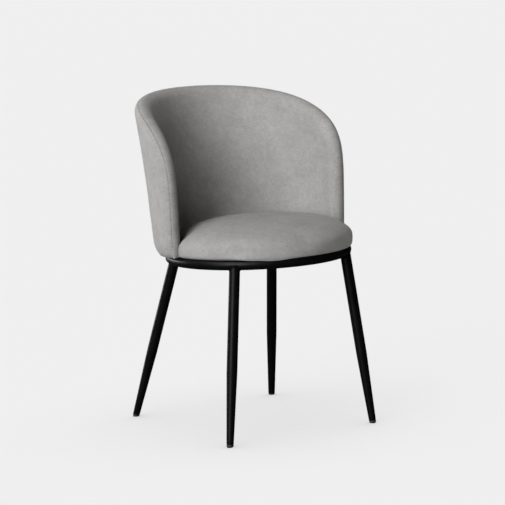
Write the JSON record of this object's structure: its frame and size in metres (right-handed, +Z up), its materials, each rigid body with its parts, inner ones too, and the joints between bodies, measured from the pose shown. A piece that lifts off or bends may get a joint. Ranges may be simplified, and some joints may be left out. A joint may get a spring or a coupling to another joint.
{
  "type": "dining chair",
  "caption": "Upholstered barrel-back dining chair with a wrap-around back, domed seat cushion and tapered round-tube steel legs.",
  "frame": {"origin": "on the floor, under the middle of the chair's box", "axes": "+Z up, -Y towards the front of the chair, +X to the right as seen from the front"},
  "size_m": [0.5164, 0.567, 0.8255],
  "materials": {
    "black_steel": "satin black powder coat",
    "zinc_steel": "zinc-plated",
    "black_plastic": "matt black moulding",
    "plywood": "raw plywood",
    "foam": "open-cell foam",
    "grey_cloth": "heathered warm grey flat weave",
    "black_fleece": "non-woven black dust cloth"
  },
  "bodies": {
    "root": {"seat_hoop": "black_steel", "leg_front_left": "black_steel", "glide_front_left": "black_plastic", "leg_front_right": "black_steel", "glide_front_right": "black_plastic", "leg_rear_left": "black_steel", "glide_rear_left": "black_plastic", "leg_rear_right": "black_steel", "glide_rear_right": "black_plastic", "seat_tab_front_left": "black_steel", "washer_front_left": "zinc_steel", "seat_bolt_front_left": "zinc_steel", "tee_nut_front_left": "zinc_steel", "seat_tab_front_right": "black_steel", "washer_front_right": "zinc_steel", "seat_bolt_front_right": "zinc_steel", "tee_nut_front_right": "zinc_steel", "seat_tab_rear_left": "black_steel", "washer_rear_left": "zinc_steel", "seat_bolt_rear_left": "zinc_steel", "tee_nut_rear_left": "zinc_steel", "seat_tab_rear_right": "black_steel", "washer_rear_right": "zinc_steel", "seat_bolt_rear_right": "zinc_steel", "tee_nut_rear_right": "zinc_steel", "back_bracket_left": "black_steel", "screw_left_1": "zinc_steel", "screw_left_2": "zinc_steel", "screw_left_3": "zinc_steel", "screw_left_4": "zinc_steel", "back_bracket_rear": "black_steel", "screw_rear_1": "zinc_steel", "screw_rear_2": "zinc_steel", "screw_rear_3": "zinc_steel", "screw_rear_4": "zinc_steel", "back_bracket_right": "black_steel", "screw_right_1": "zinc_steel", "screw_right_2": "zinc_steel", "screw_right_3": "zinc_steel", "screw_right_4": "zinc_steel", "seat_board": "plywood", "seat_foam": "foam", "seat_cover": "grey_cloth", "dust_cover": "black_fleece", "back_inside_cover": "grey_cloth", "back_outside_cover": "grey_cloth", "back_inside_foam": "foam", "back_outside_foam": "foam", "back_plywood_shell": "plywood"}
  },
  "joints": []
}
